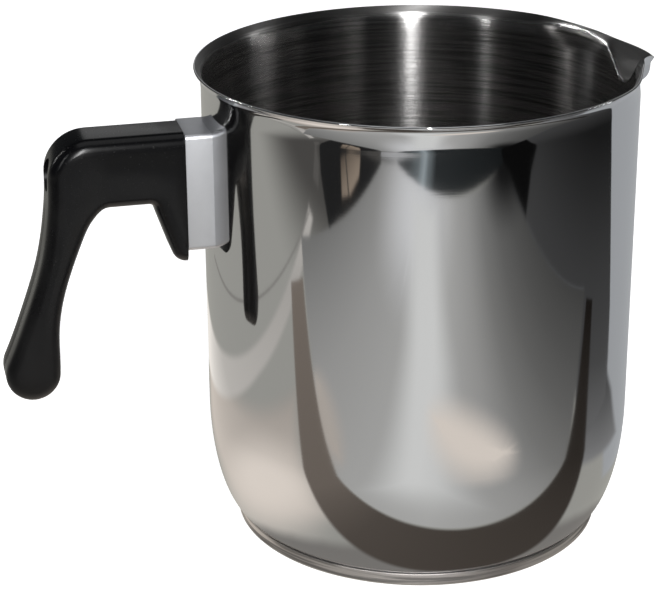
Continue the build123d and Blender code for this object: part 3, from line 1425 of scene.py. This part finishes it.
@dataclass
class Studio:
    """Table, lamps, reflected cards and camera.

    The target and the camera's place are in metres, the table and the cards in millimetres.
    """

    target: Vector = Vector((0.0, 0.0, 0.075))
    lamps: tuple[SoftBox, ...] = (
        SoftBox("key_lamp", -10.8, 26.0, 1.4, (0.018, 0.7), 14.0),
        SoftBox("soft_lamp", -53.4, 26.0, 1.5, (0.045, 0.7), 1.5),
        SoftBox("left_strip", -124.0, 26.0, 1.4, (0.012, 0.7), 2.3),
        SoftBox("right_strip", 89.0, 26.0, 1.4, (0.015, 0.7), 1.5),
        SoftBox("back_wall", 164.0, 26.0, 1.9, (1.1, 0.9), 1.6),
        SoftBox("top_panel", 0.0, 89.0, 2.0, (1.5, 1.5), 5.0),
    )
    cards: tuple[Card, ...] = (
        Card(
            "table_sheet",
            ((-2500, -2500), (2500, -2500), (2500, 2500), (-2500, 2500)),
            ((0, 0.40),),
            CREAM,
        ),
        Card("right_wall", ((80, -30), (110, 900), (900, 900), (900, -30)), ((0, 0.43),), COOL, 8.0),
        Card(
            "right_shade",
            ((95, -70), (112, 12), (165, 12), (200, -4), (192, -70)),
            ((105, 0.27), (150, 0.14), (190, 0.05)),
            softness=12.0,
        ),
        Card(
            "left_shade",
            ((-900, 483), (0, -345), (0, -900), (-900, -900)),
            ((0, 0.085),),
            WARM,
            170.0,
        ),
        Card(
            "near_glow",
            ((-215, -75), (-60, -75), (-60, 170), (-150, 120)),
            ((-200, 0.44), (-100, 0.70)),
            SUNNY,
            30.0,
        ),
        Card(
            "wood_stripe",
            ((-405, -150), (-375, -165), (-200, 15), (-40, 150), (-60, 230), (-200, 75)),
            ((-400, 0.60), (-360, 0.56), (-300, 0.50), (-150, 0.62), (-90, 0.95)),
            WARM,
            11.0,
        ),
        Card(
            "table_joint",
            ((-392, -150), (-388, -152), (-171, 230), (-175, 232)),
            ((0, 0.24),),
            WARM,
            1.0,
        ),
        Card(
            "right_flag",
            (
                (105, -75), (132, -62), (163, -12), (200, 3), (250, 18), (300, 26), (350, 31), (450, 37),
                (900, 38), (900, -900), (200, -900), (205, -452), (240, -300), (270, -100), (200, -95),
            ),
            (
                (105, 0.19), (150, 0.15), (200, 0.08), (250, 0.062),
                (300, 0.052), (400, 0.03), (500, 0.013),
            ),
        ),
        Card(
            "front_panel",
            (
                (-365, -108), (-340, -215), (-278, -425), (-225, -452),
                (206, -452), (240, -330), (279, -90), (120, -86),
            ),
            (
                (-365, 0.20), (-300, 0.28), (-200, 0.40), (-100, 0.48), (-20, 0.52),
                (50, 0.38), (100, 0.235), (150, 0.155), (200, 0.11), (280, 0.062),
            ),
            (1.0, 0.99, 0.95),
        ),
        Card("panel_edge", ((277, -92), (280, -92), (242, -330), (239, -330)), ((0, 0.11),), COOL, 1.2),
        Card("lamp_haze", ellipse((-130, -440), (160, 190)), ((0, 0.76),), softness=150.0),
        Card("panel_shade", ellipse((220, -450), (130, 120)), ((0, 0.01),), softness=100.0),
        Card(
            "lamp_smear",
            ((-88, -95), (32, -95), (18, -250), (-42, -452), (-172, -452), (-118, -250)),
            ((-150, 0.78), (-40, 0.80), (0, 0.70)),
            (1.0, 1.0, 0.97),
            52.0,
        ),
        Card("warm_spot", ellipse((18, -176), (78, 45), 30.0), ((0, 0.88),), SUNNY, 40.0),
        Card("edge_spot", ellipse((-160, -106), (56, 30)), ((0, 0.54),), SUNNY, 28.0),
        Card("warm_glow", ellipse((-104, -20), (64, 70)), ((0, 0.95),), SUNNY, 56.0),
        Card("contact_shade", ellipse((0, -20), (68, 64)), ((0, 0.24),), WARM, 10.0),
        Card(
            "front_strip",
            (
                (-312, -63), (-130, -61), (0, -58), (269, -57),
                (269, -83), (0, -92), (-130, -99), (-312, -104),
            ),
            (
                (-300, 0.22), (-200, 0.20), (-100, 0.18), (-50, 0.10),
                (0, 0.075), (110, 0.035), (268, 0.012),
            ),
            (1.0, 0.84, 0.71),
            3.0,
        ),
        Card(
            "left_flag",
            (
                (-510, -235), (-425, -212), (-338, -207), (-333, -245),
                (-275, -424), (-345, -386), (-405, -345), (-455, -300),
            ),
            ((0, 0.018),),
        ),
        Card(
            "left_patch",
            ((-500, -215), (-430, -175), (-400, -195), (-440, -215)),
            ((0, 0.12),),
            WARM,
            6.0,
        ),
        Card(
            "left_box",
            ((-408, -300), (-350, -268), (-332, -300), (-330, -345), (-352, -374), (-390, -345)),
            ((-400, 0.12), (-340, 0.34)),
            (1.0, 0.80, 0.62),
            5.0,
        ),
        Card(
            "box_joint",
            ((-398, -320), (-394, -324), (-337, -297), (-341, -293)),
            ((0, 0.05),),
            WARM,
            1.0,
        ),
        Card(
            "crescent",
            ((-285, -428), (-232, -455), (-60, -545), (-60, -900), (-600, -700)),
            ((0, 0.52),),
        ),
        Card(
            "front_flag",
            (
                (-230, -452), (-185, -480), (-120, -512), (-60, -536),
                (0, -548), (60, -560), (300, -560), (206, -452),
            ),
            (
                (-228, 0.015), (-180, 0.05), (-140, 0.17), (-115, 0.42),
                (-100, 0.20), (-70, 0.03), (200, 0.013),
            ),
            (0.84, 0.96, 1.0),
        ),
        Card(
            "right_wedge",
            (
                (241, -330), (300, -370), (358, -386), (460, -460),
                (360, -640), (190, -640), (204, -452), (220, -430),
            ),
            ((0, 0.004),),
        ),
        Card(
            "white_behind",
            (
                (-75, 130), (60, 60), (112, 95), (165, 210),
                (235, 340), (320, 900), (-60, 900), (-62, 260),
            ),
            ((0, 1.0),),
            softness=18.0,
        ),
    )
    card_step: float = 0.05  # millimetres from one card up to the next
    table_half: float = 4000.0
    table_glow: float = 0.85
    room_tint: Colour = (0.9, 0.95, 1.0)
    room_glow: float = 0.04
    camera_place: tuple[float, float, float] = (-0.17517, -0.61137, 0.33289)
    camera_yaw: float = 13.3066
    camera_pitch: float = 22.0297
    camera_roll: float = -0.4143
    lens: float = 113.07

    def build(self) -> None:
        """Sets up the studio round the pot."""
        scene = bpy.context.scene
        scene.view_settings.view_transform = "Standard"
        self.build_world()
        self.build_table()
        for lamp in self.lamps:
            lamp.build(self.target)
        for order, card in enumerate(self.cards, 1):
            card.build(order * self.card_step)
        self.build_camera()
        log.info("studio: %d lamps, %d cards", len(self.lamps), len(self.cards))

    def build_world(self) -> None:
        """A dim plain room."""
        world = bpy.data.worlds.new("room")
        bpy.context.scene.world = world
        world.use_nodes = True
        background = world.node_tree.nodes["Background"]
        background.inputs["Color"].default_value = (*self.room_tint, 1.0)
        background.inputs["Strength"].default_value = self.room_glow

    def build_table(self) -> None:
        """A pale plain table."""
        mesh = bmesh.new()
        bmesh.ops.create_grid(mesh, x_segments=1, y_segments=1, size=self.table_half)
        shader = Shader("pale_paper")
        fibre = shader.noise(900.0, (1, 1, 1), 3.0)
        paper = shader.surface(
            Base_Color=(0.9, 0.9, 0.9),
            Roughness=0.8,
            Specular_IOR_Level=0.2,
            Emission_Color=(1.0, 1.0, 1.0),
            Emission_Strength=self.table_glow,
            Normal=shader.bump(fibre, 0.01),
        )
        table = as_object(mesh, "table", (paper,))
        table.visible_glossy = False

    def build_camera(self) -> None:
        """The camera, looking down at the pot from beside the handle."""
        turns = (self.camera_yaw, self.camera_pitch, self.camera_roll)
        yaw, pitch, roll = (math.radians(degrees) for degrees in turns)
        level = math.cos(pitch)
        ahead = Vector((math.sin(yaw) * level, math.cos(yaw) * level, -math.sin(pitch)))
        right = Vector((math.cos(yaw), -math.sin(yaw), 0.0))
        up = right.cross(ahead)
        across = right * math.cos(roll) + up * math.sin(roll)
        above = up * math.cos(roll) - right * math.sin(roll)
        turn = Matrix((across, above, -ahead)).transposed().to_4x4()
        data = bpy.data.cameras.new("camera")
        data.sensor_width = 36.0
        data.sensor_fit = "HORIZONTAL"
        data.lens = self.lens
        data.clip_start = 0.01
        camera = bpy.data.objects.new("camera", data)
        camera.matrix_world = Matrix.Translation(self.camera_place) @ turn
        bpy.context.scene.collection.objects.link(camera)
        bpy.context.scene.camera = camera


def main() -> None:
    """Builds the pot's pieces, dresses the hidden ones and sets up the studio."""
    logging.basicConfig(level=logging.INFO, format="%(name)s: %(message)s")
    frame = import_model()
    nodes = frame["nodes"]
    # beyond 69.2 mm from the axis the lip is rougher and carries painted shade in its colour
    inside = SpunSteel("spun_inside", (0.72, 0.71, 0.70), 0.16, 0.04, lip_from=0.0692, lip_satin=0.38)
    band = SpunSteel("turned_band", (0.88, 0.84, 0.81), 0.5, 0.08, draw_out=0.3)
    satin = BlastedSteel("satin_ferrule", (0.66, 0.67, 0.70), 0.42, grain_depth=0.012)
    zinc = BlastedSteel("bright_zinc", (0.66, 0.68, 0.70), 0.28).material()
    PotShell().build(MirrorSteel().material(), inside.material())
    SandwichBase().build(band.material())
    Ferrule().build(satin.material())
    Grip().build(Bakelite().material())
    dress(nodes, "base_core", BlastedSteel("raw_aluminium", (0.80, 0.80, 0.81), 0.42).material())
    dress(nodes, "handle_bracket", BlastedSteel("raw_steel", (0.50, 0.50, 0.50), 0.40).material())
    for name in ("bracket_nut", "handle_screw", "flat_washer", "spring_washer"):
        dress(nodes, name, zinc)
    Studio().build()


if __name__ == "__main__":
    main()
